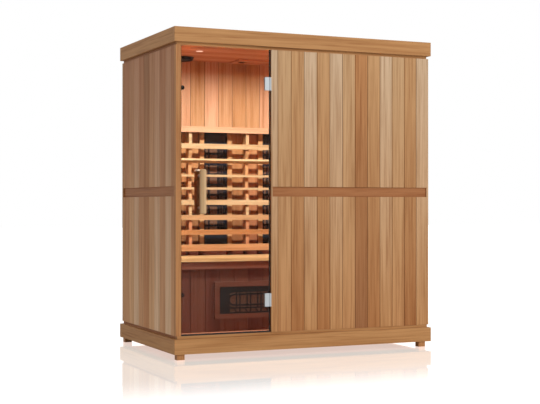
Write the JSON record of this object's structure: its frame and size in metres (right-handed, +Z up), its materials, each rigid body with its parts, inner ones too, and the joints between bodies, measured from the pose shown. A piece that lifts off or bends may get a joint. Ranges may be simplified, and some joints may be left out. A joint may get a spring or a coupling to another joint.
{
  "type": "infrared sauna cabin",
  "caption": "Timber infrared sauna cabin on a plinth, with a glass door hinged on the right, a bench, a slatted backrest before wall heaters, a bench heater and a sliding roof vent.",
  "frame": {"origin": "on the floor, under the middle of the overall outline from the door handle to the back of the plinth", "axes": "+X to the right of someone facing the door, +Y from the door towards the back wall, +Z up"},
  "size_m": [1.748, 1.118, 1.956],
  "materials": {
    "trim_wood": "planed, satin oil",
    "cladding_wood": "planed cedar boards, satin oil",
    "lining_wood": "planed cedar boards, untreated",
    "slat_wood": "sanded, untreated",
    "handle_wood": "turned and sanded",
    "black_metal": "matt black enamel",
    "black_rubber": "moulded, matt",
    "satin_steel": "satin",
    "white_lens": "frosted",
    "control_glass": "glossy, blank",
    "clear_glass": "clear tempered"
  },
  "bodies": {
    "cabin": {"foot_front_left": "trim_wood", "foot_front_right": "trim_wood", "foot_back_left": "trim_wood", "foot_back_right": "trim_wood", "base_front_board": "trim_wood", "base_back_board": "trim_wood", "base_left_board": "trim_wood", "base_right_board": "trim_wood", "roof_front_board": "trim_wood", "roof_back_board": "trim_wood", "roof_left_board": "trim_wood", "roof_right_board": "trim_wood", "front_bottom_rail": "trim_wood", "front_top_rail": "trim_wood", "front_left_stile": "trim_wood", "left_wall_core": "cladding_wood", "left_wall_lower_boards": "cladding_wood", "left_wall_upper_boards": "cladding_wood", "right_wall_core": "cladding_wood", "right_wall_lower_boards": "cladding_wood", "right_wall_upper_boards": "cladding_wood", "back_wall_panel": "cladding_wood", "front_wall_core": "cladding_wood", "front_wall_lower_boards": "cladding_wood", "front_wall_upper_boards": "cladding_wood", "roof_cover": "cladding_wood", "floor_deck": "lining_wood", "ceiling_front_panel": "lining_wood", "ceiling_left_panel": "lining_wood", "ceiling_right_panel": "lining_wood", "ceiling_back_panel": "lining_wood", "back_wall_lining": "lining_wood", "bench_front_panel": "lining_wood", "bench_heater_frame": "lining_wood", "upper_back_panel": "lining_wood", "vent_frame": "lining_wood", "bench_seat": "slat_wood", "backrest": "slat_wood", "bench_heater": "black_metal", "back_heater_left": "black_metal", "back_heater_right": "black_metal", "ceiling_speaker": "black_metal", "power_inlet": "black_metal", "door_gasket": "black_rubber", "door_sill_seal": "black_rubber", "door_stop_lower": "black_rubber", "door_stop_upper": "black_rubber", "hinge_leaf_lower": "satin_steel", "hinge_leaf_upper": "satin_steel", "downlight_left": "white_lens", "downlight_right": "white_lens", "control_panel": "control_glass"},
    "door": {"door_glass": "clear_glass", "door_handle_outer": "handle_wood", "door_handle_inner": "handle_wood", "handle_bolt_lower": "satin_steel", "handle_bolt_upper": "satin_steel", "hinge_clamp_lower": "satin_steel", "hinge_clamp_upper": "satin_steel"},
    "vent_slider": {"vent_shutter": "lining_wood"}
  },
  "joints": [
    {"name": "door_swing", "type": "hinge", "parent": "cabin", "child": "door", "pos_m": [-0.257, -0.501, 0.9895], "axis": [0, 0, 1], "range_deg": [0, 100]},
    {"name": "vent_slide", "type": "slide", "parent": "cabin", "child": "vent_slider", "axis": [-1, 0, 0], "range_m": [0, 0.0595]}
  ]
}
